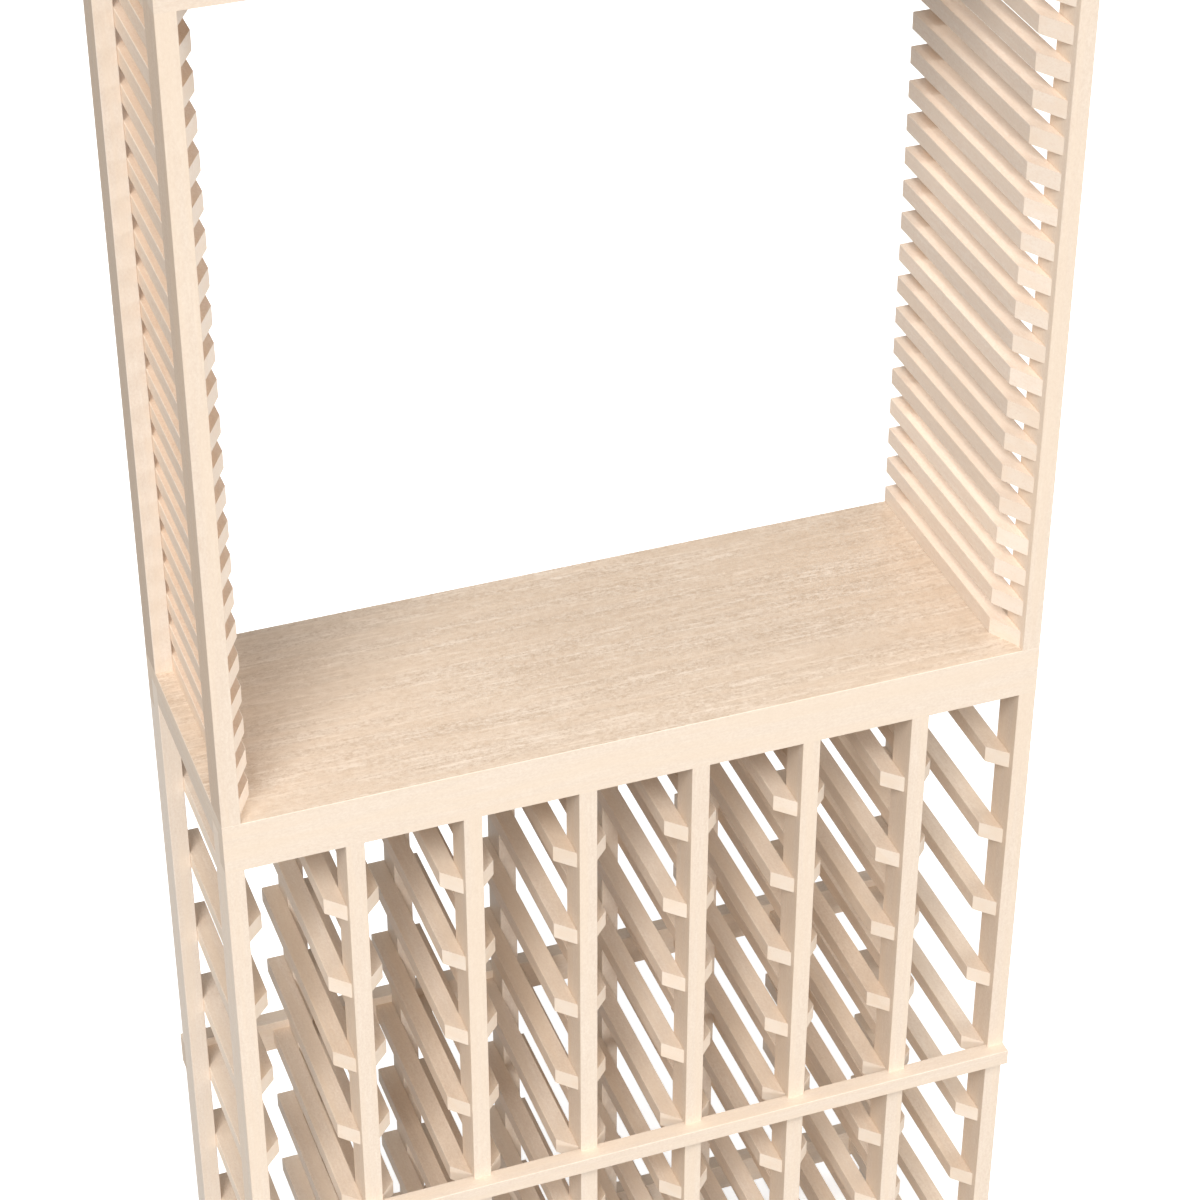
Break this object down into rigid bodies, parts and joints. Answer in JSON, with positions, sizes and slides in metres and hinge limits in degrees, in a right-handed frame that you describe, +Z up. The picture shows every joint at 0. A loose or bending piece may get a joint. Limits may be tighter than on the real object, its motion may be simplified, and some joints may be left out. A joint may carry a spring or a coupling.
{
  "type": "wine tasting station",
  "caption": "Slatted wooden wine rack with a table on it, open tasting bay between ladder sides and a top with a hanging stemware rack",
  "frame": {"origin": "on the floor, at the middle of the footprint", "axes": "+X to the right of a person facing the front, +Y from front to back, +Z up; the front faces -Y"},
  "size_m": [0.818, 0.315, 1.8288],
  "materials": {
    "frame_timber": "pale straight-grained wood, smooth planed, clear satin finish",
    "rail_timber": "pale straight-grained wood, smooth planed, clear satin finish",
    "panel_timber": "pale wood panel with fine streaky grain along its length, clear satin finish",
    "fastener_steel": "bright zinc-plated steel"
  },
  "bodies": {
    "root": {"bottom_strip_back": "frame_timber", "bottom_strip_front": "frame_timber", "finish_nails": "fastener_steel", "long_screws": "fastener_steel", "lower_post_back_1": "frame_timber", "lower_post_back_2": "frame_timber", "lower_post_back_3": "frame_timber", "lower_post_back_4": "frame_timber", "lower_post_back_5": "frame_timber", "lower_post_back_6": "frame_timber", "lower_post_back_7": "frame_timber", "lower_post_back_8": "frame_timber", "lower_post_front_1": "frame_timber", "lower_post_front_2": "frame_timber", "lower_post_front_3": "frame_timber", "lower_post_front_4": "frame_timber", "lower_post_front_5": "frame_timber", "lower_post_front_6": "frame_timber", "lower_post_front_7": "frame_timber", "lower_post_front_8": "frame_timber", "middle_strip_back": "frame_timber", "middle_strip_front": "frame_timber", "rails_column_1_left": "rail_timber", "rails_column_1_right": "rail_timber", "rails_column_2_left": "rail_timber", "rails_column_2_right": "rail_timber", "rails_column_3_left": "rail_timber", "rails_column_3_right": "rail_timber", "rails_column_4_left": "rail_timber", "rails_column_4_right": "rail_timber", "rails_column_5_left": "rail_timber", "rails_column_5_right": "rail_timber", "rails_column_6_left": "rail_timber", "rails_column_6_right": "rail_timber", "rails_column_7_left": "rail_timber", "rails_column_7_right": "rail_timber", "short_screws": "fastener_steel", "stem_ledger_left": "frame_timber", "stem_ledger_right": "frame_timber", "stem_runner_flanges": "frame_timber", "stem_runner_webs": "frame_timber", "table_apron_back": "frame_timber", "table_apron_front": "frame_timber", "table_cleat_left": "frame_timber", "table_cleat_right": "frame_timber", "table_panel": "panel_timber", "top_apron_back": "frame_timber", "top_apron_front": "frame_timber", "top_cleat_left": "frame_timber", "top_cleat_right": "frame_timber", "top_panel": "panel_timber", "upper_post_back_left": "frame_timber", "upper_post_back_right": "frame_timber", "upper_post_front_left": "frame_timber", "upper_post_front_right": "frame_timber", "upper_rails_left": "rail_timber", "upper_rails_right": "rail_timber"}
  },
  "joints": []
}
